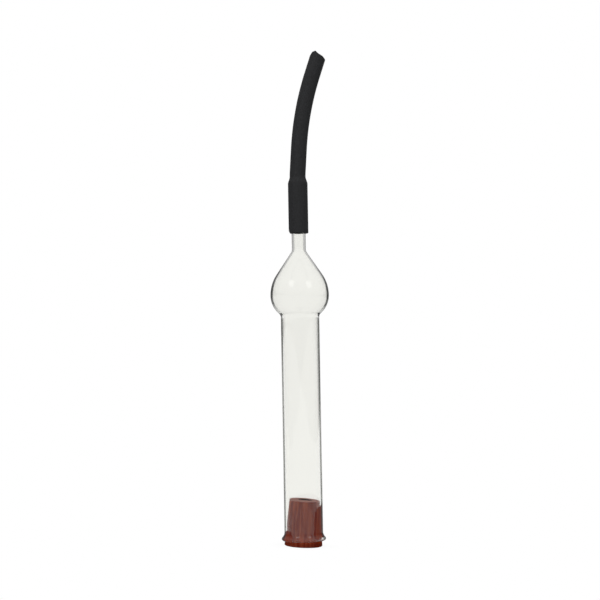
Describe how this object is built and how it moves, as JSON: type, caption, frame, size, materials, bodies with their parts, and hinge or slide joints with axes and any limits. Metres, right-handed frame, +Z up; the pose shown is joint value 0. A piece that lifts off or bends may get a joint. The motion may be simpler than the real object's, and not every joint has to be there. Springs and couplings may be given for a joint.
{
  "type": "drying tube",
  "caption": "Glass drying tube with a bulb and stem, a one-hole rubber stopper in its flared mouth and a short black rubber hose on its stem.",
  "frame": {"origin": "centre of the hole through the stopper, in the plane of the stopper's foot, on which the part stands", "axes": "+Z up the stopper's axis; the glass leans 3 degrees from it towards -X; the hose bends towards +X; Y is square to the plane in which both lie"},
  "size_m": [0.0319, 0.0292, 0.247],
  "materials": {
    "glass": "clear blown laboratory glass, fire-polished",
    "stopper_rubber": "moulded red-brown stopper rubber, matte with faint upright streaks",
    "hose_rubber": "extruded black rubber hose, matte and slightly dusty"
  },
  "bodies": {
    "root": {"glass_tube": "glass", "rubber_stopper": "stopper_rubber", "rubber_hose": "hose_rubber"}
  },
  "joints": []
}
